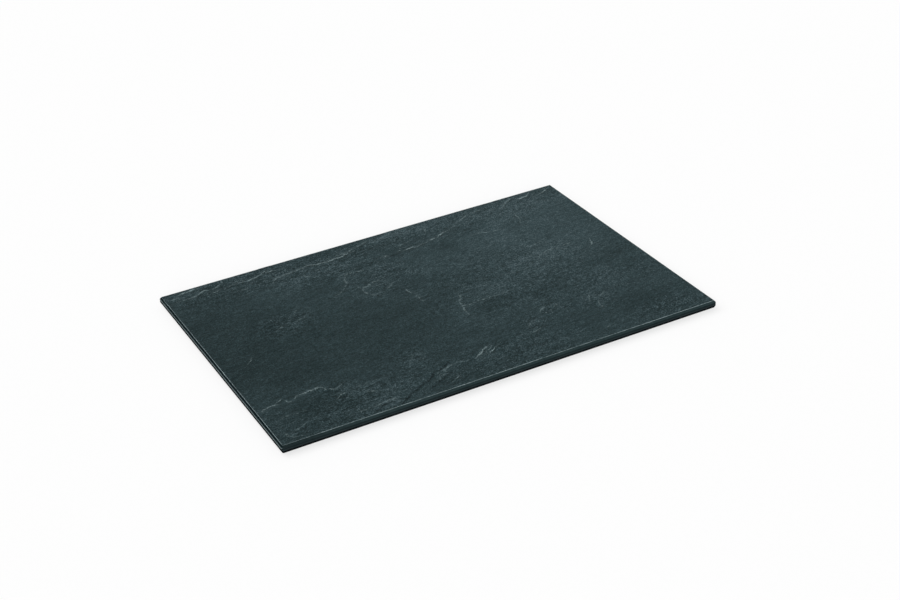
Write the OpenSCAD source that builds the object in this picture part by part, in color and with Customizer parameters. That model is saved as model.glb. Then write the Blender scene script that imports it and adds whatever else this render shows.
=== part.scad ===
// Slate serving board: one riven slab of slate with sawn and bevelled edges, standing on four moulded
// bumper feet that are stuck on with adhesive discs.
// Millimetres. The origin is on the table under the middle of the board, with X along its length,
// Y towards its back edge and Z up.

/* [Slab] */
// Length of the slab, along X
slab_length = 300; // [240:1:400]
// Width of the slab, along Y
slab_width = 200; // [160:1:300]
// Thickness of the slab where its top face is whole
slab_thickness = 5; // [4:0.5:10]
// Radius of the four upright corners, kept larger than the bevels
corner_radius = 1.5; // [1:0.5:8]
// Width of the bevel ground along the top edge
top_bevel = 1.25; // [0.5:0.05:2]
// Width of the bevel ground along the bottom edge
bottom_bevel = 0.75; // [0.3:0.05:2]
// Height of both bevels
bevel_height = 1.4; // [0.5:0.1:1.8]

/* [Riven face] */
// Depth of the deepest flake that has split from the top face
flake_depth = 0.5; // [0.3:0.1:1]
// Thin sheets of stone that each broken ledge steps down through
ledge_sheets = 2; // [1:1:3]
// Width of the tread between one sheet's edge and the next
ledge_tread = 1; // [0.6:0.1:2]
// How far a broken edge wanders to either side of its line
ledge_wander = 0.4; // [0.1:0.1:0.7]
// Longest straight break along a ledge
ledge_bite = 5; // [3:1:10]
// How far the flakes at the edges of the slab run out past it
edge_runout = 4; // [2:1:8]

/* [Feet] */
// Diameter of a foot where it is stuck to the slab
foot_diameter = 10; // [8:0.5:16]
// Height of a foot
foot_height = 2; // [1.6:0.1:5]
// Angle at which the side of a foot draws in towards the table
foot_draft = 15; // [0:1:25]
// Radius of the rounded rim round a foot's contact face
foot_rim = 0.8; // [0.4:0.1:1.2]
// Distance from the edges of the slab to a foot's centre
foot_inset = 25; // [15:1:50]

/* [Adhesive] */
// Distance from the rim of an adhesive disc out to the side of its foot
adhesive_margin = 0.8; // [0.4:0.1:2]
// Thickness of an adhesive disc
adhesive_thickness = 0.3; // [0.2:0.1:0.8]

/* [Hidden] */
$fn = 96;

slab_bottom = foot_height + adhesive_thickness;
slab_top = slab_bottom + slab_thickness;

// Least rounding left at the corners of the top and bottom faces, inside their bevels
face_corner = 0.2;
// Width of the slab's border, which is also the radius of its corners
border = max(corner_radius, top_bevel + face_corner, bottom_bevel + face_corner);
// Middle of each corner's rounding, from the middle of the slab
border_x = slab_length / 2 - border;
border_y = slab_width / 2 - border;

foot_radius = foot_diameter / 2;
foot_x = slab_length / 2 - foot_inset;
foot_y = slab_width / 2 - foot_inset;
adhesive_radius = foot_radius - adhesive_margin;

// Room that a cutter leaves above the top face and behind a chord
cut_clear = 2;
// Share by which the width of a tread varies to either side
tread_spread = 0.4;
// Share of a flake's reach by which the floor of each lower sheet starts further from the chord
sheet_setback = 0.2;
// Steps of the scatter from one ledge, and from one stretch of it, to the next
ledge_seed = 100;
stretch_seed = 31;

// The four corners: name, side along X, side along Y
CORNERS = [
    ["front_left", -1, -1],
    ["front_right", 1, -1],
    ["back_right", 1, 1],
    ["back_left", -1, 1],
];

// The broken ledges of the top face. Each has the place that it is measured from, as sides along X
// and Y of the slab with 0 for the middle, then its share of flake_depth, then the line of the ledge.
// A flake lies to the left of its ledge, between it and the chord from the line's end to its start.
LEDGES = [
    // Back edge, from the left corner to past the middle
    [-1, 1, 0.8, [
        [-edge_runout, edge_runout], [-edge_runout, -15.5], [17, -13.5], [30.5, -9], [35, -14],
        [57.5, -11.5], [67.5, -9], [73, edge_runout],
    ]],
    [0, 1, 1, [
        [-72, edge_runout], [-76.5, -20], [-51.5, -15.5], [-36.5, -17.5], [-21.5, -14.5], [-10, -8.5],
        [10, -7], [22.5, edge_runout],
    ]],
    [0, 1, 0.9, [
        [-39.5, -30], [1, -32.5], [31, -30.5], [49.5, -23], [59, -19.5], [68.5, -13], [94, -7],
        [109.5, edge_runout],
    ]],
    // Front left corner
    [-1, -1, 1, [
        [-edge_runout, 10], [20, 13.5], [41.5, 22], [52, 30], [53.5, 37], [39.5, 44.5], [22.5, 41],
        [19.5, 44.5], [-edge_runout, 39],
    ]],
    // Front edge, left of the middle
    [0, -1, 0.9, [
        [17, -edge_runout], [4.5, 26], [-1, 30.5], [-15, 24.5], [-36.5, 22.5], [-55, 13],
        [-75.5, -edge_runout],
    ]],
    // Thin flakes in the middle of the face
    [0, 0, 0.45, [[-8.5, 46], [-10, 18], [-6.5, 10.5], [-7.5, 1], [2, -5]]],
    [0, 0, 0.5, [[4.5, -36.5], [10, -31.5], [10.5, -22.5], [15.5, -7.5], [17, -0.5], [5.5, 2.5]]],
    [0, 0, 0.4, [[48.5, -19], [53, -13.5], [50.5, -5], [42, 4], [31, 6], [22.5, 0], [21.5, -18.5]]],
    [0, 0, 0.5, [[-32.5, 39], [-33, 28.5], [-29.5, 25.5], [-19.5, 28], [-12.5, 32]]],
    [0, 0, 0.35, [[-24, 59], [-32, 60], [-37, 54.5], [-38.5, 46]]],
    // Thin flakes towards the right end
    [1, 0, 0.4, [[-40, 3.5], [-30.5, 3], [-24.5, 5.5], [-23, 12], [-29, 17.5], [-39, 17]]],
    [1, 0, 0.45, [
        [-71.5, -70.5], [-64.5, -67], [-64, -61.5], [-60, -56.5], [-64.5, -52.5], [-70.5, -48.5],
    ]],
];

// A repeatable scatter from 0 to 1
function scatter(i) = let(s = 43.7585 * sin(127.1 * i)) s - floor(s);

// A line with each stretch broken into bites that wander to either side of it
function broken(line, seed) = [
    for (i = [0 : len(line) - 2])
        let(
            run = line[i + 1] - line[i],
            bites = ceil(norm(run) / ledge_bite),
            side = [run.y, -run.x] / norm(run)
        )
        for (k = [0 : bites - 1])
            let(wander = k == 0 ? 0 : ledge_wander * (2 * scatter(seed + stretch_seed * i + k) - 1))
            line[i] + run * k / bites + side * wander,
    line[len(line) - 1],
];

// A line whose two ends run on past the chord
function run_past(line) =
    let(
        last = len(line) - 1,
        out = line[0] - line[1],
        on = line[last] - line[last - 1]
    )
    [
        line[0] + cut_clear * out / norm(out),
        for (i = [1 : last - 1]) line[i],
        line[last] + cut_clear * on / norm(on),
    ];

// A line moved to its left by a width that varies from point to point
function set_back(line, width, seed) = [
    for (i = [0 : len(line) - 1])
        let(
            run = line[min(i + 1, len(line) - 1)] - line[max(i - 1, 0)],
            spread = tread_spread * (2 * scatter(seed + i) - 1)
        )
        line[i] + width * (1 + spread) * [-run.y, run.x] / norm(run)
];

// Direction that a flake falls away in, square to its chord and towards its ledge
function fall(line) =
    let(chord = line[len(line) - 1] - line[0])
    [chord.y, -chord.x] / norm(chord);

// Distance from a flake's chord to the farthest point of its ledge
function reach(line) = max([for (point = line) (point - line[0]) * fall(line)]);

// Section of the slab's border, from the middle of a corner's rounding out to the sawn face
module border_section() {
    polygon([
        [0, 0],
        [border - bottom_bevel, 0],
        [border, bevel_height],
        [border, slab_thickness - bevel_height],
        [border - top_bevel, slab_thickness],
        [0, slab_thickness],
    ]);
}

// One straight border strip, along Y, with its sawn face towards +X
module border_strip(length) {
    rotate([90, 0, 0])
        linear_extrude(length, center = true)
            border_section();
}

// The slab as it is sawn and bevelled, before its face is riven
module sawn_slab() {
    translate([-border_x, -border_y, 0])
        cube([2 * border_x, 2 * border_y, slab_thickness]);
    for (turn = [0, 180]) {
        rotate(turn)
            translate([border_x, 0, 0])
                border_strip(2 * border_y);
        rotate(turn + 90)
            translate([border_y, 0, 0])
                border_strip(2 * border_x);
    }
    for (corner = CORNERS)
        translate([corner[1] * border_x, corner[2] * border_y, 0])
            rotate(atan2(corner[2], corner[1]) - 45)
                rotate_extrude(angle = 90)
                    border_section();
}

// One split sheet: the outline of its ledge over a floor that rises to the top face at start, which
// is measured from the chord
module split_sheet(outline, line, start, depth) {
    towards = fall(line);
    far = 2 * reach(line);
    far_depth = far * depth / (reach(line) - start);
    intersection() {
        translate([0, 0, -far_depth])
            linear_extrude(far_depth + cut_clear)
                polygon(outline);
        translate(concat(line[0] + start * towards, 0))
            rotate(atan2(towards.y, towards.x))
                rotate([90, 0, 0])
                    linear_extrude(2 * slab_length, center = true)
                        polygon([[0, 0], [far, -far_depth], [far, cut_clear], [0, cut_clear]]);
    }
}

// Everything that has split away along one ledge, sheet below sheet, from the top face at z = 0
module flake(line, depth, seed) {
    edge = broken(run_past(line), seed);
    for (sheet = [0 : ledge_sheets - 1]) {
        outline = set_back(edge, sheet * ledge_tread, seed);
        start = sheet * sheet_setback * reach(line);
        split_sheet(outline, line, start, depth * (sheet + 1) / ledge_sheets);
    }
}

// The slate, riven along its ledges
module slate_slab() {
    color([0.2, 0.25, 0.26])
        difference() {
            translate([0, 0, slab_bottom])
                sawn_slab();
            for (i = [0 : len(LEDGES) - 1])
                translate([LEDGES[i][0] * slab_length / 2, LEDGES[i][1] * slab_width / 2, slab_top])
                    flake(LEDGES[i][3], LEDGES[i][2] * flake_depth, ledge_seed * i);
        }
}

// A moulded foot, with its side drawn in towards the table and a rounded rim no taller than half of it
module foot() {
    rim = min(foot_rim, foot_height / 2);
    rim_top = rim * (1 - sin(foot_draft));
    rim_reach = rim * cos(foot_draft);
    contact_radius = foot_radius - (foot_height - rim_top) * tan(foot_draft) - rim_reach;
    color([0.1, 0.1, 0.1])
        rotate_extrude() {
            polygon([
                [0, 0],
                [contact_radius, 0],
                [contact_radius + rim_reach, rim_top],
                [foot_radius, foot_height],
                [0, foot_height],
            ]);
            translate([contact_radius, rim])
                circle(rim);
        }
}

// A disc cut from double-sided tape, between a foot and the slate
module adhesive() {
    color([0.8, 0.79, 0.74])
        translate([0, 0, foot_height])
            cylinder(h = adhesive_thickness, r = adhesive_radius);
}

module at_corner(corner) {
    translate([corner[1] * foot_x, corner[2] * foot_y, 0])
        children();
}

slate_slab();
for (corner = CORNERS) {
    at_corner(corner) foot();
    at_corner(corner) adhesive();
}
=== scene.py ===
import math

import bpy
import numpy as np
from mathutils import Matrix, Vector


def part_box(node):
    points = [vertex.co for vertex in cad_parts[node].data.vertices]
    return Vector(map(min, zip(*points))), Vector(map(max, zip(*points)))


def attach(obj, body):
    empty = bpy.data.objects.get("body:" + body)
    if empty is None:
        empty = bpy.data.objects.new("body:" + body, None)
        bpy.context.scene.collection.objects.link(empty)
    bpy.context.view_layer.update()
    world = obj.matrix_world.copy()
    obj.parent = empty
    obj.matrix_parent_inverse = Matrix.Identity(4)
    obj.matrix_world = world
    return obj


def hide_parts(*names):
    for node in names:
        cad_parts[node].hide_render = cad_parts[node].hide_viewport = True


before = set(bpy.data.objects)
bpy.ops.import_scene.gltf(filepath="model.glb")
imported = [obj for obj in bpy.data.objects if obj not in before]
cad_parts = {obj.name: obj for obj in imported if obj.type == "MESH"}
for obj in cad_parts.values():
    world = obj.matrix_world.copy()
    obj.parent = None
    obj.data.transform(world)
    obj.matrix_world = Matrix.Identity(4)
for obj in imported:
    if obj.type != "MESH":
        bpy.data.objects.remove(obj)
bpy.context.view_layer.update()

# The slab is one sheet of slate, split along its bed and sawn to size. Its top face is riven: thin sheets
# have broken away along ragged ledges, deepest at the back edge and the front left corner. Its edges are
# ground to a bevel above and below, and it lies on its four feet. Its sizes are in millimetres.
millimetre = 0.001
slab_low, slab_high = (np.array(corner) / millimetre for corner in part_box("slate_slab"))
slab_length, slab_width = (slab_high - slab_low)[:2]
corner_radius = 1.5
top_bevel, bottom_bevel, bevel_height = 1.25, 0.75, 1.4
flake_depth = 0.5
edge_runout = 4

# The broken ledges: the side of the slab along X and Y that each is measured from, its share of
# flake_depth, and its line. The flake lies to the left of the line.
LEDGES = [
    (-1, 1, 0.8, [(-edge_runout, edge_runout), (-edge_runout, -15.5), (17, -13.5), (30.5, -9), (35, -14),
                  (57.5, -11.5), (67.5, -9), (73, edge_runout)]),
    (0, 1, 1.0, [(-72, edge_runout), (-76.5, -20), (-51.5, -15.5), (-36.5, -17.5), (-21.5, -14.5),
                 (-10, -8.5), (10, -7), (22.5, edge_runout)]),
    (0, 1, 0.9, [(-39.5, -30), (1, -32.5), (31, -30.5), (49.5, -23), (59, -19.5), (68.5, -13), (94, -7),
                 (109.5, edge_runout)]),
    (-1, -1, 1.0, [(-edge_runout, 10), (20, 13.5), (41.5, 22), (52, 30), (53.5, 37), (39.5, 44.5),
                   (22.5, 41), (19.5, 44.5), (-edge_runout, 39)]),
    (0, -1, 0.9, [(17, -edge_runout), (4.5, 26), (-1, 30.5), (-15, 24.5), (-36.5, 22.5), (-55, 13),
                  (-75.5, -edge_runout)]),
    (0, 0, 0.45, [(-8.5, 46), (-10, 18), (-6.5, 10.5), (-7.5, 1), (2, -5)]),
    (0, 0, 0.5, [(4.5, -36.5), (10, -31.5), (10.5, -22.5), (15.5, -7.5), (17, -0.5), (5.5, 2.5)]),
    (0, 0, 0.4, [(48.5, -19), (53, -13.5), (50.5, -5), (42, 4), (31, 6), (22.5, 0), (21.5, -18.5)]),
    (0, 0, 0.5, [(-32.5, 39), (-33, 28.5), (-29.5, 25.5), (-19.5, 28), (-12.5, 32)]),
    (0, 0, 0.35, [(-24, 59), (-32, 60), (-37, 54.5), (-38.5, 46)]),
    (1, 0, 0.4, [(-40, 3.5), (-30.5, 3), (-24.5, 5.5), (-23, 12), (-29, 17.5), (-39, 17)]),
    (1, 0, 0.45, [(-71.5, -70.5), (-64.5, -67), (-64, -61.5), (-60, -56.5), (-64.5, -52.5), (-70.5, -48.5)]),
]
# Bruises, where the stone has turned pale along a break, with a painted highlight where the break catches
# the light, and painted dark lines of shade. Each is a line of points from the middle of the slab with how
# pale it is there, below 0 for dark.
BRUISES_GLINTS_AND_SHADE = [
    # Back edge
    [(-138.5, 94.5, 0.4), (-135, 95.5, 0.75), (-131.5, 96, 0.6), (-128.5, 96.5, 0.85), (-126, 96.5, 0.5),
     (-124, 96.5, 0.3)],
    [(-146, 93, 0.25), (-144.5, 91, 0.4), (-142.5, 92, 0.35), (-141, 91.5, 0.4)],
    [(-139, 86.5, 0.5), (-137.5, 86.5, 0.5), (-135, 87, 0.25), (-134, 87, 0.5), (-131.5, 87, 0.6),
     (-129.5, 87.5, 0.6), (-127, 88, 0.4), (-125.5, 89.5, 0.75), (-123.5, 90.5, 0.75), (-121.5, 91.5, 0.9),
     (-120, 90.5, 0.55)],
    [(-117, 89.5, 0.35), (-115.5, 90, 0.55), (-113.5, 91, 0.45), (-111, 93, 0.45), (-108.5, 93.5, 0.5),
     (-107.5, 96.5, 0.35)],
    [(-120.5, 85, 0.6), (-118.5, 85, 0.6), (-116, 85.5, 0.6), (-114, 85.5, 0.6)],
    [(-110, 85.5, 0.35), (-107, 86.5, 0.55), (-103.5, 88.5, 0.45), (-101.5, 88.5, 0.55),
     (-98.5, 88.5, 0.55), (-95.5, 88, 0.55), (-93, 87.5, 0.55), (-89.5, 88, 0.95), (-87.5, 88.5, 0.75),
     (-85, 89.5, 0.65), (-84.5, 90.5, 0.7), (-82.5, 90.5, 0.55), (-79.5, 92.5, 0.65), (-77.5, 93.5, 0.8)],
    [(-99, 92, 0.3), (-97.5, 91, 0.3), (-95.5, 91, 0.25)],
    [(-100.5, 78.5, 0.35), (-98.5, 78.5, 0.35), (-97, 79, 0.3)],
    [(-76, 91.5, 0.8), (-74, 91.5, 0.8), (-71.5, 91.5, 0.8)],
    [(-76, 79.5, 0.95), (-73.5, 82, 0.8), (-72, 81, 0.65), (-69, 82.5, 0.45), (-66.5, 82.5, 0.7),
     (-64, 82.5, 0.5), (-61, 82.5, 0.45), (-58, 83, 0.55), (-55.5, 83.5, 0.5), (-52, 85.5, 0.55),
     (-49.5, 85, 0.7), (-47.5, 84.5, 0.7), (-44.5, 83, 0.6), (-41, 82.5, 0.65), (-38.5, 83, 0.85),
     (-35.5, 83, 1.15), (-32.5, 83, 1.1), (-29.5, 83.5, 0.95), (-26.5, 83.5, 0.95), (-23.5, 84.5, 0.85),
     (-20, 86, 0.65), (-17, 86, 0.55)],
    [(-34, 86.5, 0.5), (-31.5, 85.5, 0.3)],
    [(-23.5, 87.5, 0.4), (-21.5, 87, 0.4), (-18, 88, 0.4), (-15, 89.5, 0.6), (-12.5, 90, 0.4),
     (-7, 92.5, 0.5), (0, 95, 0.15)],
    [(-57, 72, 0.4), (-55.5, 70.5, 0.45)],
    [(8, 92.5, 0.6), (10, 93, 0.6)],
    [(-1, 68, 0.8), (1, 68.5, 0.65)],
    [(9, 70, 0.35), (11.5, 70.5, 0.9), (12.5, 68.5, 0.45), (14.5, 68.5, 0.45), (18, 69, 1.2),
     (19, 69, 1.1), (21.5, 70, 0.7), (23.5, 68.5, 0.55), (26.5, 69, 0.55), (29, 69.5, 0.65),
     (31.5, 70, 0.4), (35, 71.5, 0.25), (37, 72, 0.9), (38.5, 73, 0.9), (40.5, 73, 0.3), (43, 73.5, 0.3),
     (45, 75, 1.2), (46.5, 76.5, 0.6), (49, 76.5, 0.75), (51.5, 77.5, 0.45), (53, 77.5, 0.4),
     (57, 78.5, 0.25), (60, 81, 0.25), (65, 86, 0.3), (68, 87, 0.35), (71.5, 88.5, 0.65), (73.5, 90, 0.5),
     (77, 90.5, 0.3), (82, 92, 0.3), (86.5, 92, 0.45)],
    [(15.5, 76, 0.45), (17, 77, 0.3), (19.5, 77.5, 0.35), (22.5, 78.5, 0.3)],
    [(40.5, 87.5, 0.6), (39.5, 85.5, 0.45)],
    [(2, 91, 0.35), (5, 92, 0.4)],
    [(101, 86.5, 0.3), (105, 89.5, 0.55), (109, 93, 0.5), (113, 96, 0.5)],
    [(118.5, 92.5, 0.55), (121, 92.5, 1.1), (125, 92.5, 1.1), (128, 95, 0.55)],
    [(133, 90, 0.25), (138, 92, 0.65), (142, 94, 0.8)],
    # Middle of the face
    [(-51, 37.5, 0.35), (-45, 41, 0.3), (-39, 47, 0.45), (-37.5, 53, 0.42), (-35, 58, 0.45),
     (-32, 60.5, 0.6), (-29, 59.5, 0.55), (-22, 58.5, 0.35)],
    [(-34, 41, 0.25), (-33.5, 35, 0.35), (-33, 30, 0.45), (-31, 26.5, 0.35), (-29, 24.5, 0.35),
     (-25, 26.5, 0.15)],
    [(-31, 37.5, 0.35), (-24, 40, 0.5), (-19, 41.3, 0.45), (-14, 43, 0.25)],
    [(-27, 32.5, 0.1), (-21, 35.5, 0.15), (-14, 36.5, 0.1)],
    [(-19, 27, 0.1), (-17.5, 28.5, 0.3), (-14, 31.5, 0.3), (-12, 33, 0.1)],
    [(-9.2, 21, 0.2), (-9.2, 18, 0.65), (-9, 16, 0.65), (-8, 13, 0.15), (-6.5, 11, 0.45), (-7, 7, 0.55),
     (-7.2, 1, 0.35)],
    [(10.3, -34, 0.15), (10, -27, 0.4), (10.5, -22, 0.5), (12, -18, 0.55), (12, -12.5, 0.4),
     (15, -9, 0.25), (16.5, -6, 0.4), (17, 1, 0.15)],
    [(13.5, -18.5, 0.55), (18, -19, 0.5), (25, -18, 0.5), (32, -17.5, 0.4), (36, -18.5, 0.2),
     (44, -18, 0.25)],
    [(-129.5, -5.5, 0.7), (-128, -4, 0.3), (-125.5, -1, 0.25)],
    [(-83, 32, 0.25), (-81, 35, 0.2)],
    [(-84, 23, 0.4), (-80, 24.5, 0.4)],
    [(-98, 20, 0.4), (-95, 21.5, 0.35)],
    # Right end
    [(65, 62, 0.35), (68, 62.5, 0.35), (72, 61.5, 0.5), (76, 59, 0.25), (80, 59, 0.4)],
    [(104, 71, 0.55), (103, 66, 0.45), (101, 60, 0.25)],
    [(84, 8, 0.25), (88, 12.5, 0.45), (93, 14, 0.45), (98, 15.5, 0.35), (105, 14.5, 0.35),
     (112, 16, 0.35)],
    [(127.5, 12, 0.55), (126, 8, 0.8), (123, 5, 0.25)],
    [(89, 26, 0.2), (91, 26.5, 0.3), (96, 28, 0.25), (100, 28.5, 0.15)],
    [(85.5, -67, 0.25), (86, -62, 0.4), (88, -59, 0.3), (90, -56, 0.15), (95, -53, 0.3), (99.5, -49, 0.15)],
    [(83, -55.5, 0.3), (85.5, -51.5, 0.5)],
    [(48, -51.5, 0.3), (53, -48, 0.4), (56, -47, 0.15)],
    [(51, -54, 0.6), (57, -52, 0.6), (62, -49.5, 0.5)],
    [(33, -64, 0.1), (36, -60.5, 0.3), (39, -58.5, 0.2)],
    [(33, -70, 0.5), (39, -68.5, 0.35)],
    [(77, 14, 0.15), (84, 15, 0.2), (92, 18.5, 0.15)],
    [(70, 4, 0.1), (79, 6, 0.15), (88, 6.5, 0.05)],
    [(24, 5, 0.1), (31, 7.5, 0.15), (39, 6, 0.2), (46, 1.5, 0.15)],
    # Front edge
    [(-146, -60.5, 0.45), (-139, -58.5, 0.65), (-135, -58, 0.65), (-131, -55, 0.65), (-129.5, -56.5, 0.3),
     (-128, -58.5, 0.45), (-127.5, -60, 0.45), (-124.5, -59, 0.35), (-121, -56.7, 0.55),
     (-116.5, -56, 0.7), (-111.5, -55.5, 0.7), (-106.5, -55.3, 0.55), (-104, -57, 0.35), (-103, -60, 0.3),
     (-100.5, -60.5, 0.55), (-99.5, -62.8, 0.35), (-96, -60.8, 0.65)],
    [(-100.5, -70.7, 0.6), (-98, -68.6, 0.6), (-95.5, -68.8, 0.35)],
    [(-140, -74, 0.2), (-132, -72, 0.35), (-124, -73, 0.2)],
    [(-98.5, -75.5, 0.1), (-93.5, -70.7, 0.2), (-86, -67.2, 0.25), (-78.5, -64.8, 0.25), (-72, -66, 0.1)],
    [(-84.5, -70, 0.1), (-75.5, -68.5, 0.1), (-68, -66, 0.1)],
    [(-82.5, -75.7, 0.45), (-79, -77, 0.4), (-75.5, -78, 0.25)],
    [(-97, -91.5, 0.35), (-90.5, -91, 0.25), (-85, -91.5, 0.35), (-80.5, -89.7, 0.45), (-74, -90, 0.45)],
    [(-142.6, -89, 0.4), (-141.4, -89.6, 0.5)],
    [(-137, -89, 0.15), (-134, -88.2, 0.5), (-130, -86, 0.35)],
    [(-142, -92, 0.3), (-139, -94.5, 0.4), (-135, -95.5, 0.3)],
    [(-46.5, -58, 0.15), (-41.5, -53, 0.2)],
    [(-42.5, -58.5, 0.2), (-37, -54, 0.2)],
    [(-39.5, -60.5, 0.4), (-36.5, -58.5, 0.4)],
    [(-48, -88, 0.15), (-43.5, -85.3, 0.25), (-40.5, -84.2, 0.25), (-37, -81.8, 0.25), (-34, -81, 0.2)],
    [(-40, -79.3, 0.25), (-36.5, -79.2, 0.2), (-30, -76.2, 0.4), (-27, -75.3, 0.55), (-24.5, -74.9, 0.35),
     (-22, -75.1, 0.25), (-16, -76.5, 0.25)],
    [(-10, -75.5, 0.75), (-6, -73, 0.9), (-3.5, -70.5, 0.9), (-0.5, -69.5, 0.6)],
    [(-0.5, -75.2, 0.8), (1, -74, 1.5), (2.5, -73.2, 1.1)],
    [(-31.9, -89.7, 0.7), (-31.4, -89.4, 0.7)],
    [(74.5, -89.5, 0.25), (76, -89, 0.25)],
    # Shade
    [(-71.5, -97, -0.95), (-66, -92.5, -1), (-61.5, -89.8, -1), (-54, -86.3, -0.95), (-48, -83.8, -1),
     (-44, -80.9, -1), (-41.2, -78, -0.85), (-39.5, -77, -0.3)],
    [(-48, -90.5, -0.7), (-43.5, -88.4, -0.8), (-38.5, -85.8, -0.8), (-33, -83.5, -0.7),
     (-28.5, -82.3, -0.4)],
    [(-90, -97, -0.75), (-86, -94.8, -1), (-81.5, -92.4, -1), (-77, -91.6, -0.45)],
    [(-38, -77, -1), (-35, -76, -1), (-31, -74, -1), (-27, -72.5, -0.55)],
    [(-95, -70.7, -0.75), (-97.8, -73.2, -0.85), (-101, -75.7, -0.4)],
    [(-104, -61.5, -0.5), (-101, -63, -0.5), (-98, -65, -0.25)],
    [(-133, -90, -0.9), (-130.5, -88.6, -0.9)],
    [(-29, 23, -1), (-26, 22.5, -1), (-22, 24, -0.5)],
    [(36, 7.5, -0.2), (43, 5.5, -0.35), (50, -2, -0.35), (54, -8, -0.2)],
    [(78, 12, -0.2), (86, 13, -0.2), (94, 16.5, -0.15)],
    [(92, 23.5, -0.35), (99, 25.5, -0.3)],
    [(50, -54.5, -0.45), (55, -51.5, -0.45), (60, -51.5, -0.25)],
    [(34, -66, -0.3), (40, -64, -0.25)],
    [(-45, -60, -0.55), (-40, -56.5, -0.55)],
    [(-40, -62.5, -0.35), (-35, -58.5, -0.35)],
    [(4, 66.5, -0.85), (7, 67, -0.55), (9.5, 66.5, -0.45)],
]
# Clouds in the colour of the stone, with a painted sheen in them that lightens the back and the right:
# middle, half width, half height and lightness of each.
TONE_AND_SHEEN_CLOUDS = [
    (-80, -12, 90, 62, -0.4),
    (-135, 25, 60, 75, -0.35),
    (100, 45, 60, 50, 0.5),
    (85, 5, 18, 14, 0.3),
    (112, -38, 18, 12, 0.3),
    (36, -8, 15, 11, 0.25),
    (64, -32, 7, 5, -0.55),
    (32, -29, 22, 8, -0.6),
    (40, 57, 9, 8, -0.3),
    (115, -77, 24, 14, -0.3),
    (118, -12, 17, 8, -0.45),
    (-122, -70, 24, 12, -0.25),
    (-88, -92, 30, 7, 0.25),
    (-90, -73, 9, 5, 0.25),
    (-40, -62, 10, 10, 0.15),
    (-32, -93, 30, 7, -0.35),
    (-93, -81, 8, 5, -0.25),
    (-118, 78, 40, 12, -0.15),
    (25, 93, 24, 5, 0.75),
    (4, 89, 12, 5, 0.45),
    (122, 82, 35, 20, 0.3),
    (55, 88, 30, 12, 0.25),
    (-48, 92, 22, 4, -0.25),
    (-143, -15, 12, 16, -0.2),
    (-132, 42, 24, 18, -0.2),
    (75, 58, 11, 8, 0.2),
    (55, -50, 9, 6, 0.2),
    (40, -72, 80, 30, -0.2),
    (-122, -84, 40, 20, -0.4),
    (-100, 30, 40, 30, 0.1),
    (20, 42, 26, 16, 0.25),
    (15, 15, 18, 12, -0.15),
]
# How rough the split left the face: CALM over most of it, and more in patches where it crossed many
# beds, with the middle, half width, half height and added roughness of each.
CALM = 0.55
ROUGH = [
    (-75, 88, 85, 20, 0.5),
    (75, 88, 85, 20, 0.35),
    (-18, 45, 28, 26, 0.4),
    (60, -5, 60, 45, 0.3),
    (-95, -82, 62, 22, 0.36),
    (5, -85, 55, 18, 0.35),
    (-92, 25, 17, 14, 0.55),
    (85, 15, 28, 15, 0.1),
    (-50, 66, 28, 12, 0.25),
    (122, -88, 30, 12, 0.4),
    (115, -38, 34, 14, 0.2),
    (60, -49, 13, 9, 0.35),
    (88, -56, 11, 10, 0.35),
    (38, -62, 11, 10, 0.35),
    (-44, -57, 12, 11, 0.45),
]


def ease(share):
    """A smooth rise from 0 to 1 as share goes from 0 to 1."""
    share = np.clip(share, 0, 1)
    return share * share * (3 - 2 * share)


def bed_noise(x, y, run, rise, seed):
    """Smooth noise from about -1 to 1 over the bed, in cells of run by rise."""
    repeat, gain = 256, 1.5
    turns = np.random.default_rng(seed).uniform(0, 2 * np.pi, (repeat, repeat))
    i, j = np.floor(x / run).astype(int), np.floor(y / rise).astype(int)
    s, t = x / run - i, y / rise - j

    def pull(a, b):
        turn = turns[(i + a) % repeat, (j + b) % repeat]
        return np.cos(turn) * (s - a) + np.sin(turn) * (t - b)

    front = pull(0, 0) + ease(s) * (pull(1, 0) - pull(0, 0))
    back = pull(0, 1) + ease(s) * (pull(1, 1) - pull(0, 1))
    return gain * (front + ease(t) * (back - front))


def along_line(x, y, line, values):
    """Gap from each point to the line, positive on its left, and the line's value there."""
    gap = np.full(x.shape, np.inf)
    value = np.zeros(x.shape)
    for (ax, ay), (bx, by), start, end in zip(line, line[1:], values, values[1:]):
        length = math.hypot(bx - ax, by - ay)
        ux, uy = (bx - ax) / length, (by - ay) / length
        run = np.clip((x - ax) * ux + (y - ay) * uy, 0, length)
        away = np.hypot(x - ax - run * ux, y - ay - run * uy)
        side = np.where(ux * (y - ay) - uy * (x - ax) < 0, -1, 1)
        nearer = away < np.abs(gap)
        gap = np.where(nearer, away * side, gap)
        value = np.where(nearer, start + (end - start) * run / length, value)
    return gap, value


def within(x, y, outline):
    """Whether each point lies inside a closed outline."""
    inside = np.zeros(x.shape, bool)
    for (ax, ay), (bx, by) in zip(outline, outline[1:] + outline[:1]):
        if ay != by:
            inside ^= ((ay > y) != (by > y)) & (x < ax + (bx - ax) * (y - ay) / (by - ay))
    return inside


def patches(x, y, places):
    """The sum of soft patches, each with its middle, half width, half height and strength."""
    full_share, fade_share = 0.3, 1.1
    drift_x = x + 8 * bed_noise(x, y, 25, 18, 11) + 2 * bed_noise(x, y, 6, 5, 20)
    drift_y = y + 6 * bed_noise(x, y, 25, 18, 12) + 2 * bed_noise(x, y, 6, 5, 21)
    total = np.zeros(x.shape)
    for middle_x, middle_y, half_width, half_height, strength in places:
        away = np.hypot((drift_x - middle_x) / half_width, (drift_y - middle_y) / half_height)
        total += strength * (1 - ease((away - full_share) / fade_share))
    return total


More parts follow.
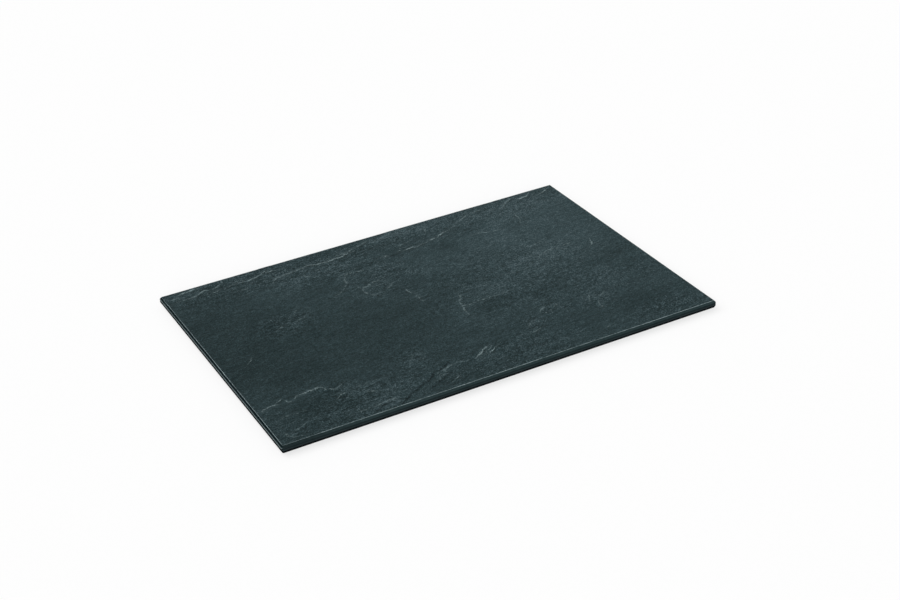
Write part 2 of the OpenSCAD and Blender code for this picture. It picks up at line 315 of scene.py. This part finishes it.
def riven_height(x, y, rough):
    """Height of the riven face from the whole one: the bed's swell and thin layers, and the flakes."""
    swell, ripple, sink = 0.08, 0.05, 0.2
    layer_height, layer_lip = 0.11, 0.14
    ridge_height, knob_height, grit_height = 0.04, 0.04, 0.035
    edge_share, edge_run = 0.15, 6
    ledge_lip, ledge_tread = 0.75, 1.0
    grain_x, grain_y = 0.98, 0.17
    wander_x = x + 0.7 * bed_noise(x, y, 5, 5, 1) + 0.4 * bed_noise(x, y, 2.2, 2.2, 2)
    wander_y = y + 0.7 * bed_noise(x, y, 5, 5, 3) + 0.4 * bed_noise(x, y, 2.2, 2.2, 4)
    tilt_x = grain_x * wander_x + grain_y * wander_y
    tilt_y = grain_x * wander_y - grain_y * wander_x
    height = swell * bed_noise(x, y, 55, 38, 5) + ripple * bed_noise(x, y, 20, 10, 6) - sink
    layers = 9 + 4.5 * bed_noise(tilt_x, tilt_y, 52, 30, 7) + 2.2 * bed_noise(tilt_x, tilt_y, 18, 9, 8)
    layers += 0.8 * bed_noise(tilt_x, tilt_y, 6, 4, 22)
    height += layer_height * rough * (np.floor(layers) + ease((layers % 1) / layer_lip) - layers)
    ridges = (1 - np.abs(bed_noise(tilt_x, tilt_y, 10, 4.2, 23))) ** 2
    height += rough * (ridge_height * ridges + knob_height * bed_noise(tilt_x, tilt_y, 6.5, 3.2, 9))
    height += grit_height * bed_noise(tilt_x, tilt_y, 3.2, 2.1, 15)
    edge = np.minimum(slab_length / 2 - np.abs(x), slab_width / 2 - np.abs(y)) - top_bevel
    height *= edge_share + (1 - edge_share) * ease(edge / edge_run)
    for side_x, side_y, share, points in LEDGES:
        line = [(px + side_x * slab_length / 2, py + side_y * slab_width / 2) for px, py in points]
        (sx, sy), (ex, ey) = line[0], line[-1]
        chord = math.hypot(ex - sx, ey - sy)
        fall_x, fall_y = (ey - sy) / chord, (sx - ex) / chord
        reach = max((px - sx) * fall_x + (py - sy) * fall_y for px, py in line)
        depth = share * flake_depth * np.clip(((x - sx) * fall_x + (y - sy) * fall_y) / reach, 0, 1)
        step, _ = along_line(wander_x, wander_y, line, [0] * len(line))
        tread = ledge_tread * (1 + 0.4 * bed_noise(x, y, 7, 7, 10))
        sheets = (ease(np.abs(step) / ledge_lip) + ease((np.abs(step) - tread) / ledge_lip)) / 2
        height -= np.where(within(wander_x, wander_y, line), depth * sheets, 0)
    return height


def bruises_and_glints(x, y):
    """Gap to the nearest pale bruise and highlight, or painted shade line, and how pale it is there."""
    wander_x = x + 0.4 * bed_noise(x, y, 4, 4, 16) + 0.4 * bed_noise(x, y, 2, 2, 17)
    wander_y = y + 0.4 * bed_noise(x, y, 4, 4, 18) + 0.4 * bed_noise(x, y, 2, 2, 19)
    far = 9.0
    gap, pale = np.full(x.shape, far), np.zeros(x.shape)
    for stroke in BRUISES_GLINTS_AND_SHADE:
        line, values = [point[:2] for point in stroke], [point[2] for point in stroke]
        step, value = along_line(wander_x, wander_y, line, values)
        nearer = np.abs(step) < np.abs(gap)
        gap, pale = np.where(nearer, step, gap), np.where(nearer, value, pale)
    return gap, pale


# Even cells of the top face inside its corner roundings, and a narrow border of cells round them.
cells_x, cells_y, border_cells, underside_step = 344, 228, 2, 4
core_x, core_y = slab_length / 2 - corner_radius, slab_width / 2 - corner_radius
border = corner_radius - top_bevel
border_lines = np.linspace(0, border, border_cells + 1)[1:]
lines_x = np.linspace(-core_x, core_x, cells_x + 1)
lines_y = np.linspace(-core_y, core_y, cells_y + 1)
lines_x = np.concatenate([-core_x - border_lines[::-1], lines_x, core_x + border_lines])
lines_y = np.concatenate([-core_y - border_lines[::-1], lines_y, core_y + border_lines])
count_x, count_y = len(lines_x), len(lines_y)
grid_x, grid_y = np.meshgrid(lines_x, lines_y, indexing="ij")
past_x = np.clip((np.abs(grid_x) - core_x) / border, 0, 1)
past_y = np.clip((np.abs(grid_y) - core_y) / border, 0, 1)
spread_x = border * past_x * np.sqrt(1 - past_y**2 / 2)
spread_y = border * past_y * np.sqrt(1 - past_x**2 / 2)
grid_x = np.sign(grid_x) * (np.minimum(np.abs(grid_x), core_x) + spread_x)
grid_y = np.sign(grid_y) * (np.minimum(np.abs(grid_y), core_y) + spread_y)

# The rim of the top face, all the way round from the front left corner. A narrow arris is worn along
# it, then come the top bevel, the sawn side and the bottom bevel. The arris takes shares of the wear:
# how far the rim draws in, and how far out and down from the bevel each of its two rings lies.
arris_wear, rim_share = 0.2, 1.1
arris_shares = ((0.05, 0.2), (0.5, 0.65))
rim_i = np.concatenate([np.arange(count_x - 1), np.full(count_y - 1, count_x - 1),
                        np.arange(count_x - 1, 0, -1), np.zeros(count_y - 1, int)])
rim_j = np.concatenate([np.zeros(count_x - 1, int), np.arange(count_y - 1),
                        np.full(count_x - 1, count_y - 1), np.arange(count_y - 1, 0, -1)])
rim_x, rim_y = grid_x[rim_i, rim_j], grid_y[rim_i, rim_j]
root_x, root_y = np.clip(rim_x, -core_x, core_x), np.clip(rim_y, -core_y, core_y)
out_x, out_y = (rim_x - root_x) / border, (rim_y - root_y) / border
nicks = 0.5 * bed_noise(rim_x, rim_y, 9, 9, 13) + 0.4 * bed_noise(rim_x, rim_y, 2.4, 2.4, 14)
wear = arris_wear * (1 + nicks)
grid_x[rim_i, rim_j] = root_x + out_x * (border - rim_share * wear)
grid_y[rim_i, rim_j] = root_y + out_y * (border - rim_share * wear)

# The points of the face, then of the rings down its sides, then of the underside, in coarser cells.
gap, pale = bruises_and_glints(grid_x, grid_y)
# Painted sheen: the clouds hold the stone's tone and a sheen that lightens the back and the right.
tone_and_sheen = patches(grid_x, grid_y, TONE_AND_SHEEN_CLOUDS)
roughness = CALM + patches(grid_x, grid_y, ROUGH)
height = riven_height(grid_x, grid_y, roughness)
top = slab_high[2] + np.minimum(height, 0)
rim_top = top[rim_i, rim_j]
side_top, side_bottom = slab_high[2] - bevel_height, slab_low[2] + bevel_height
rim_count = len(rim_x)
arris_rings = [(top_bevel - out * wear, rim_top - down * wear) for out, down in arris_shares]
side_rings = [
    (top_bevel / 2, (rim_top + side_top) / 2),
    (0, np.full(rim_count, side_top)),
    (0, np.full(rim_count, (side_top + side_bottom) / 2)),
    (0, np.full(rim_count, side_bottom)),
    (bottom_bevel, np.full(rim_count, slab_low[2])),
]
rings = arris_rings + side_rings
points = [np.stack([grid_x, grid_y, top], axis=-1).reshape(-1, 3)]
for inset, level in rings:
    reach = corner_radius - inset
    points.append(np.stack([root_x + out_x * reach, root_y + out_y * reach, level], axis=-1))
under_i, under_j = np.meshgrid(np.arange(underside_step, count_x - 1, underside_step),
                               np.arange(underside_step, count_y - 1, underside_step), indexing="ij")
points.append(np.stack([grid_x[under_i, under_j], grid_y[under_i, under_j],
                        np.full(under_i.shape, slab_low[2])], axis=-1).reshape(-1, 3))

# The faces in the same order, each with the number of its finish.
riven, worn, sawn_side, sawn_end, gauged = range(5)
number = np.arange(count_x * count_y).reshape(count_x, count_y)
faces = np.stack([number[:-1, :-1], number[1:, :-1], number[1:, 1:], number[:-1, 1:]], axis=-1)
faces = faces.reshape(-1, 4).tolist()
finishes = [riven] * len(faces)
ring_starts = [count_x * count_y + rim_count * k for k in range(len(rings))]
loops = [number[rim_i, rim_j]] + [start + np.arange(rim_count) for start in ring_starts]
faces_end = np.abs(out_x + np.roll(out_x, -1)) > np.abs(out_y + np.roll(out_y, -1))
for k, (upper, lower) in enumerate(zip(loops, loops[1:])):
    strip = np.stack([upper, lower, np.roll(lower, -1), np.roll(upper, -1)], axis=-1)
    faces += strip.tolist()
    sawn = np.where(faces_end, sawn_end, sawn_side).tolist()
    finishes += [worn] * rim_count if k < len(arris_rings) else sawn
under_number = {}
for k, (i, j) in enumerate(zip(rim_i, rim_j)):
    under_number[i, j] = ring_starts[-1] + k
for k, (i, j) in enumerate(zip(under_i.ravel(), under_j.ravel())):
    under_number[i, j] = ring_starts[-1] + rim_count + k
for i in range(0, count_x - 1, underside_step):
    for j in range(0, count_y - 1, underside_step):
        far_i, far_j = i + underside_step, j + underside_step
        outline = [(i, b) for b in range(j, far_j)] + [(a, far_j) for a in range(i, far_i)]
        outline += [(far_i, b) for b in range(far_j, j, -1)] + [(a, j) for a in range(far_i, i, -1)]
        faces.append([under_number[place] for place in outline if place in under_number])
        finishes.append(gauged)


def new_piece(name, points, faces, crease=None):
    """A new object of points in metres and faces, shaded smooth up to the angle of its creases, if any."""
    mesh = bpy.data.meshes.new(name)
    mesh.from_pydata(points, [], faces)
    if crease:
        mesh.polygons.foreach_set("use_smooth", [True] * len(faces))
        mesh.set_sharp_from_angle(angle=math.radians(crease))
    piece = bpy.data.objects.new(name, mesh)
    bpy.context.scene.collection.objects.link(piece)
    return piece


slab = new_piece("riven_slab", (np.concatenate(points) * millimetre).tolist(), faces, crease=25)
slab_mesh = slab.data
slab_mesh.polygons.foreach_set("material_index", finishes)
fields = {"bruise_gap": gap, "bruise_pale": pale, "cloud": tone_and_sheen, "rough": roughness}
for name, field in fields.items():
    values = np.concatenate([field.ravel(), np.zeros(len(slab_mesh.vertices) - field.size)])
    slab_mesh.attributes.new(name, "FLOAT", "POINT").data.foreach_set("value", values)


class Socket:
    """One value in a material's nodes. Arithmetic on it adds Math nodes."""

    def __init__(self, tree, socket=None):
        self.tree = tree
        self.socket = socket

    def node(self, kind, settings=None, inputs=None, output=0):
        """A new node: its settings are made first, then its sockets are set or linked."""
        made = self.tree.nodes.new("ShaderNode" + kind)
        for name, value in (settings or {}).items():
            if name == "stops":
                stops = made.color_ramp.elements
                for _ in value[2:]:
                    stops.new(1.0)
                for stop, (position, colour) in zip(stops, value):
                    stop.position, stop.color = position, (*colour, 1)
            else:
                setattr(made, name, value)
        for name, value in (inputs or {}).items():
            if isinstance(value, Socket):
                self.tree.links.new(value.socket, made.inputs[name])
            elif isinstance(value, tuple) and made.inputs[name].type == "RGBA":
                made.inputs[name].default_value = (*value, 1)
            else:
                made.inputs[name].default_value = value
        return Socket(self.tree, made.outputs[output]) if made.outputs else None

    def math(self, operation, *values):
        return self.node("Math", {"operation": operation}, dict(enumerate(values)))

    def __add__(self, other):
        return self.math("ADD", self, other)

    def __radd__(self, other):
        return self.math("ADD", other, self)

    def __sub__(self, other):
        return self.math("SUBTRACT", self, other)

    def __rsub__(self, other):
        return self.math("SUBTRACT", other, self)

    def __mul__(self, other):
        return self.math("MULTIPLY", self, other)

    def __rmul__(self, other):
        return self.math("MULTIPLY", other, self)

    def __neg__(self):
        return self.math("MULTIPLY", self, -1)

    def __abs__(self):
        return self.math("ABSOLUTE", self)

    def between(self, low, high):
        """0 below low and 1 above high, and smooth between them."""
        return self.node("MapRange", {"interpolation_type": "SMOOTHSTEP"}, {0: self, 1: low, 2: high})

    def mix(self, low, high):
        """From one colour at 0 to another at 1."""
        return self.node("Mix", {"data_type": "RGBA"}, {0: self, 6: low, 7: high}, 2)

    def noise(self, scale, detail=3, roughness=0.6):
        """Noise from 0 to 1 over this place, with scale cells in a metre."""
        return self.node("TexNoise", inputs={
            "Vector": self, "Scale": scale, "Detail": detail, "Roughness": roughness})

    def drawn_out(self, turn, length):
        """This place with what lies on it turned by some degrees and drawn out to so many lengths."""
        return self.node("Mapping", {"vector_type": "TEXTURE"}, {
            "Vector": self, "Rotation": (0, 0, math.radians(turn)), "Scale": (length, 1, 1)})

    def along(self, axis):
        """How far this place lies along an axis, in millimetres."""
        return self.node("SeparateXYZ", inputs={0: self}, output=axis) * (1 / millimetre)


def new_finish(name):
    """A new material, and the place on the piece that its nodes start from."""
    material = bpy.data.materials.new(name)
    material.use_nodes = True
    material.node_tree.nodes.clear()
    return material, Socket(material.node_tree).node("TexCoord", output="Object")


def set_finish(place, colour, roughness, gloss, height, depth, strength=1.0):
    """Ends a finish: its shader takes the colour, roughness and gloss, and height times depth as relief."""
    relief = place.node("Bump", inputs={"Strength": strength, "Distance": depth, "Height": height})
    surface = place.node("BsdfPrincipled", inputs={
        "Base Color": colour, "Roughness": roughness, "Specular IOR Level": gloss, "Normal": relief})
    place.node("OutputMaterial", inputs={"Surface": surface})


# The riven face is mottled and flecked along its grain. A bruise is a broken pale line in a soft halo,
# partly the stone's pale break and partly a painted highlight, with painted shade as a dark lee on one side.
riven_slate, place = new_finish("riven_slate")
bed = place.drawn_out(turn=9, length=1.7)
strands = place.drawn_out(turn=6, length=7)
drifts = place.drawn_out(turn=7, length=3.5)
bruise_gap, bruise_pale, cloud, rough = (
    place.node("Attribute", {"attribute_name": name}, output="Fac") for name in fields)
haze = 0.6 * place.noise(28, 4, 0.55) + 0.85 * drifts.noise(85, 4, 0.55) - 0.725
mottle = bed.noise(260, 4, 0.62) - 0.5
grain = bed.noise(620, 3, 0.6) - 0.5
speck = place.noise(1150, 2, 0.6) - 0.5
strand = strands.noise(620, 3, 0.6) - 0.5
flecks = 0.2 * mottle + 1.4 * grain + 2.85 * speck + 0.7 * strand
# Painted sheen: the clouds lighten the face towards the back and the right.
level = 0.459 + 0.3 * cloud + 0.28 * haze + rough * flecks
colour = place.node("ValToRGB", {"stops": [
    (0.0, (0.007, 0.0148, 0.0158)),
    (0.3, (0.016, 0.028, 0.03)),
    (0.5, (0.025, 0.043, 0.047)),
    (0.75, (0.0452, 0.0716, 0.0788)),
    (1.0, (0.0838, 0.1182, 0.13)),
]}, {"Fac": level})
pale_side = bruise_pale.math("MAXIMUM", bruise_pale, 0)
dark_side = bruise_pale.math("MAXIMUM", -bruise_pale, 0)
lee_shade_colour, halo_colour, core_colour = (0.012, 0.021, 0.022), (0.1, 0.14, 0.15), (0.26, 0.34, 0.35)
shade_colour = (0.004, 0.009, 0.01)
ragged = bruise_gap + 2.4 * speck + 1.8 * grain + 2.4 * (place.noise(380, 2) - 0.5)
broken = place.noise(520, 3, 0.6)
unbroken = (broken + 0.25 * pale_side).between(0.46, 0.72)
core = (1 - (abs(ragged) - 0.8 * (broken - 0.5)).between(0.0, 0.62)) * unbroken
halo = (1 - abs(bruise_gap + 5 * mottle).between(0.4, 3.4)) * strand.between(-0.05, 0.15)
lee_shade = (-ragged).between(0.4, 0.9) * (1 - (-ragged).between(1.3, 2.5))
# Painted shade: the dark lee beside each bruise.
colour = (0.6 * lee_shade * pale_side).mix(colour, lee_shade_colour)
# Painted highlight, in part: the halo and core of each bruise also stand for the break catching the light.
colour = (0.36 * halo * pale_side).mix(colour, halo_colour)
colour = (0.9 * core * pale_side).mix(colour, core_colour)
# Painted shade: the dark lines in the lee of the ledges.
shade = (1 - abs(ragged).between(0.2, 1.4)) * (0.4 + 0.6 * broken.between(0.36, 0.6))
colour = (shade * dark_side).mix(colour, shade_colour)
sheets = 11 * bed.noise(85, 5, 0.65)
steps = sheets.math("FLOOR", sheets) + sheets.math("FRACT", sheets).between(0.0, 0.16) - sheets
folds = 1 - abs(bed.noise(210, 4, 0.6) - 0.5).between(0.0, 0.09)
texture = rough * (0.22 * steps + 0.25 * folds + 0.5 * mottle + 0.5 * grain + 0.4 * speck)
set_finish(place, colour, 0.65 + 0.3 * mottle, gloss=0.04, height=texture, depth=0.5 * millimetre)

# The arris is rubbed pale in patches, and darkened by painted shade along the front near the left corner.
worn_slate, place = new_finish("worn_slate")
arris_dull, arris_pale, arris_shaded = (0.054, 0.077, 0.08), (0.308, 0.386, 0.397), (0.045, 0.064, 0.067)
pale_marks = place.noise(520, 4, 0.65)
patchy = place.noise(70)
colour = (0.55 * pale_marks + 0.6 * patchy).between(0.35, 0.8).mix(arris_dull, arris_pale)
# Painted shade: the front arris darkens towards the left corner.
front_rim = (-place.along("Y")).between(core_y - 0.3, core_y)
left_shade_run = 1 - place.along("X").between(-core_x + 10, -core_x + 30)
colour = (0.5 * front_rim * left_shade_run).mix(colour, arris_shaded)
set_finish(place, colour, 0.5 + 0.25 * pale_marks, gloss=0.03,
           height=pale_marks, depth=0.2 * millimetre, strength=0.4)

# The sides are sawn and their bevels ground. The ends are painted darker as shade, a shaded copy of the
# sides' finish, and are paler along the lower edge of the bevel; the long sides faintly so near the bottom
# of the cut. Painted shade makes the long sides' cut darker than their bevels, darkens the bevels towards
# the left corners and turns the bottom bevels near-black.
saw_finishes = []
band_dull, band_pale, deep_shade = (0.105, 0.137, 0.142), (0.207, 0.252, 0.259), (0.001, 0.0018, 0.002)
shade_run = 60
for name, band_level, band_share, corner_shade, bevel_deep, bevel_bright, sawn_deep, sawn_bright in (
    ("sawn_slate", side_bottom + 0.95, 0.07, 0.42, (0.012, 0.022, 0.0235), (0.024, 0.038, 0.04),
     (0.005, 0.0095, 0.0105), (0.012, 0.0185, 0.0205)),
    # Painted shade: the ends are coloured as a darker copy of the sides.
    ("shaded_end_slate", side_top - 0.05, 0.87, 0.0, (0.0015, 0.005, 0.006), (0.004, 0.01, 0.011),
     (0.003, 0.005, 0.0055), (0.008, 0.011, 0.012)),
):
    material, place = new_finish(name)
    courses = place.node("Mapping", inputs={"Vector": place, "Scale": (0.05, 0.05, 1)})
    saw_marks = courses.noise(2600)
    dusting = place.noise(300, 4)
    upward = place.along("Z")
    patchy = (0.5 * saw_marks + 0.5 * dusting).between(0.25, 0.8)
    # Painted shade: the bevels darken towards the left corners.
    left_shade_run = 1 - place.along("X").between(-slab_length / 2, -slab_length / 2 + shade_run)
    bevel = (corner_shade * left_shade_run).mix(patchy.mix(bevel_deep, bevel_bright), deep_shade)
    # Painted shade: on the long sides the cut is coloured darker than its bevels.
    colour = upward.between(side_top - 0.3, side_top + 0.3).mix(patchy.mix(sawn_deep, sawn_bright), bevel)
    # Paler along a band: low on the long sides' cut, and at the lower edge of the ends' top bevel.
    pale_marks = 1 - abs(upward - band_level).between(0.05, 0.4)
    colour = (band_share * pale_marks).mix(colour, patchy.mix(band_dull, band_pale))
    # Painted shade: the colour turns near-black down to the bottom bevel.
    colour = upward.between(side_bottom - 0.1, side_bottom + 0.7).mix(deep_shade, colour)
    set_finish(place, colour, 0.6 + 0.3 * dusting, gloss=0.02,
               height=saw_marks + 0.5 * dusting, depth=0.2 * millimetre, strength=0.35)
    saw_finishes.append(material)

# The underside is gauged flat, which leaves long shallow scores and stone dust.
gauged_slate, place = new_finish("gauged_slate")
gauged_deep, gauged_bright = (0.018, 0.03, 0.032), (0.05, 0.068, 0.073)
passes = place.node("Mapping", inputs={"Vector": place, "Scale": (0.04, 1, 1)})
gauge_marks = passes.noise(700, 4)
dusting = place.noise(110, 5)
scored = (0.5 * gauge_marks + 0.5 * dusting).between(0.25, 0.8)
colour = scored.mix(gauged_deep, gauged_bright)
set_finish(place, colour, 0.5 + 0.3 * dusting, gloss=0.15,
           height=gauge_marks + 0.3 * dusting, depth=0.3 * millimetre, strength=0.5)

for material in (riven_slate, worn_slate, *saw_finishes, gauged_slate):
    slab_mesh.materials.append(material)
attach(slab, "root")
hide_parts("slate_slab")

# Four black rubber feet, moulded as low discs with drafted sides and a rounded rim, so that each draws
# out of its mould. They keep the slate off the table and stop it sliding.
rubber, place = new_finish("foot_rubber")
rubber_black, rubber_grey = (0.008, 0.008, 0.009), (0.02, 0.02, 0.021)
stipple = place.noise(4200, 2, 0.5)
bloom = place.noise(360, 4)
colour = bloom.between(0.3, 0.75).mix(rubber_black, rubber_grey)
set_finish(place, colour, 0.6 + 0.25 * bloom, gloss=0.35,
           height=stipple, depth=0.1 * millimetre, strength=0.3)


def turned(profile, turns):
    """Points and faces of a profile turned about an upright axis, which it starts on from below."""
    points, faces = [(0, 0, profile[0][1])], []
    for k, (radius, level) in enumerate(profile[1:]):
        for turn in np.linspace(0, 2 * np.pi, turns, endpoint=False):
            points.append((radius * math.cos(turn), radius * math.sin(turn), level))
        for t in range(turns):
            here, following = 1 + k * turns + t, 1 + k * turns + (t + 1) % turns
            if k == 0:
                faces.append((0, following, here))
            else:
                faces.append((here - turns, following - turns, following, here))
    return np.array(points), faces


corners = ("front_left", "front_right", "back_right", "back_left")
foot_turns, foot_draft, foot_rim, rim_steps = 64, math.radians(15), 0.8, 8
contact_dish, contact_shares, moulding_lip = 0.1, (0, 0.25, 0.5, 0.7, 0.85, 0.95), 0.1
for corner in corners:
    low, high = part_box(corner + "_foot")
    middle = (low + high) / 2
    foot_radius = (high.x - low.x) / 2 / millimetre
    foot_height = (high.z - low.z) / millimetre
    rim_top = foot_rim * (1 - math.sin(foot_draft))
    contact = foot_radius - (foot_height - rim_top) * math.tan(foot_draft) - foot_rim * math.cos(foot_draft)
    profile = [(contact * share, contact_dish * (1 - share**4)) for share in contact_shares]
    for k in range(rim_steps + 1):
        turn = (math.pi / 2 - foot_draft) * k / rim_steps
        profile.append((contact + foot_rim * math.sin(turn), foot_rim * (1 - math.cos(turn))))
    profile += [(foot_radius - moulding_lip, foot_height - 3 * moulding_lip),
                (foot_radius, foot_height - moulding_lip), (foot_radius - moulding_lip, foot_height)]
    points, faces = turned(profile, foot_turns)
    faces.append(tuple(range(len(points) - foot_turns, len(points))))
    points = np.array((middle.x, middle.y, low.z)) + points * millimetre
    foot = new_piece(corner + "_bumper", points.tolist(), faces, crease=40)
    foot.data.materials.append(rubber)
    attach(foot, "root")
    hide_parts(corner + "_foot")

# Four discs punched from cream double-sided tape, whose threads show faintly. Each is pressed between
# the slate and its foot and holds the two together.
tape, place = new_finish("tape")
tape_cream, tape_pale = (0.5, 0.48, 0.42), (0.66, 0.64, 0.58)
fibre = place.node("Mapping", inputs={"Vector": place, "Scale": (1, 0.2, 1)})
threads = fibre.noise(3000)
colour = threads.between(0.25, 0.8).mix(tape_cream, tape_pale)
set_finish(place, colour, 0.6 + 0.2 * threads, gloss=0.5,
           height=threads, depth=0.1 * millimetre, strength=0.3)
for corner in corners:
    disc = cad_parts[corner + "_adhesive"]
    disc.data.materials.clear()
    disc.data.materials.append(tape)

# The board lies on a wide round floor of white paper. It is shown about a third as it is lit and the
# rest as plain white, which leaves the board's shadow faint. Its sizes are in metres.
floor_turns, floor_rings, plain_white = 96, (0.6, 3.0, 12.0, 60.0), 0.65


def shown(start):
    """1 on the rays that show a background: straight from the camera, off a gloss or through a glass."""
    rays = ("Is Camera Ray", "Is Glossy Ray", "Is Transmission Ray")
    camera_ray, glossy_ray, transmission_ray = (start.node("LightPath", output=name) for name in rays)
    return camera_ray + glossy_ray + transmission_ray


paper, place = new_finish("floor_paper")
tooth = place.noise(300, 2)
colour = tooth.mix((0.95, 0.95, 0.95), (0.98, 0.98, 0.98))
lit = place.node("BsdfPrincipled", inputs={
    "Base Color": colour, "Roughness": 1.0, "Specular IOR Level": 0.0})
white = place.node("Emission", inputs={"Color": (1, 1, 1), "Strength": 1.0})
surface = place.node("MixShader", inputs={0: plain_white * shown(place), 1: lit, 2: white})
place.node("OutputMaterial", inputs={"Surface": surface})
points, faces = turned([(radius, 0) for radius in (0, *floor_rings)], floor_turns)
floor = new_piece("floor", points.tolist(), [face[::-1] for face in faces])
floor.data.materials.append(paper)

# Soft studio light: a dim even surround that shows as white, a wide key from the left and a wide fill
# from the front. Each lamp has its strength, its spread and where it stands, in degrees.
surround = bpy.data.worlds.new("surround")
surround.use_nodes = True
surround.node_tree.nodes.clear()
sky = Socket(surround.node_tree)
dim = sky.node("Background", inputs={"Color": (1, 1, 1), "Strength": 0.32})
white = sky.node("Background", inputs={"Color": (1, 1, 1), "Strength": 1.0})
surface = sky.node("MixShader", inputs={0: shown(sky), 1: dim, 2: white})
sky.node("OutputWorld", inputs={"Surface": surface})
bpy.context.scene.world = surround


def towards(azimuth, elevation):
    """The way to a thing that stands some degrees round from the right and up from the floor."""
    azimuth, elevation = math.radians(azimuth), math.radians(elevation)
    return Vector((math.cos(azimuth) * math.cos(elevation), math.sin(azimuth) * math.cos(elevation),
                   math.sin(elevation)))


for name, strength, spread, azimuth, elevation in (
    ("key", 1.3, 60, 160, 55),
    ("fill", 2.3, 40, -115, 28),
):
    lamp = bpy.data.lights.new(name, "SUN")
    lamp.energy = strength
    lamp.angle = math.radians(spread)
    light = bpy.data.objects.new(name, lamp)
    light.rotation_mode = "QUATERNION"
    light.rotation_quaternion = towards(azimuth, elevation).to_track_quat("Z", "Y")
    bpy.context.scene.collection.objects.link(light)

# The camera stands at the photograph's angle: in front of the board and to its left, a metre off,
# looking down, and rolled a little. Its sensor and its lens are in millimetres.
view_azimuth, view_elevation, view_roll = -117.2453, 30.1412, math.radians(2.842)
view_distance, aim_right, aim_up = 1.059541, 0.010733, 0.002829
sensor_width, lens_length = 36, 65.8031
back = towards(view_azimuth, view_elevation)
right = Vector((0, 0, 1)).cross(back).normalized()
up = back.cross(right)
stand = Vector((0, 0, slab_low[2] * millimetre)) + back * view_distance + right * aim_right + up * aim_up
rolled_right = right * math.cos(view_roll) - up * math.sin(view_roll)
rolled_up = right * math.sin(view_roll) + up * math.cos(view_roll)
lens = bpy.data.cameras.new("camera")
lens.sensor_fit = "HORIZONTAL"
lens.sensor_width = sensor_width
lens.lens = lens_length
camera = bpy.data.objects.new("camera", lens)
facing = Matrix((rolled_right, rolled_up, back)).transposed().to_4x4()
camera.matrix_world = Matrix.Translation(stand) @ facing
bpy.context.scene.collection.objects.link(camera)
bpy.context.scene.camera = camera
bpy.context.scene.view_settings.view_transform = "Standard"
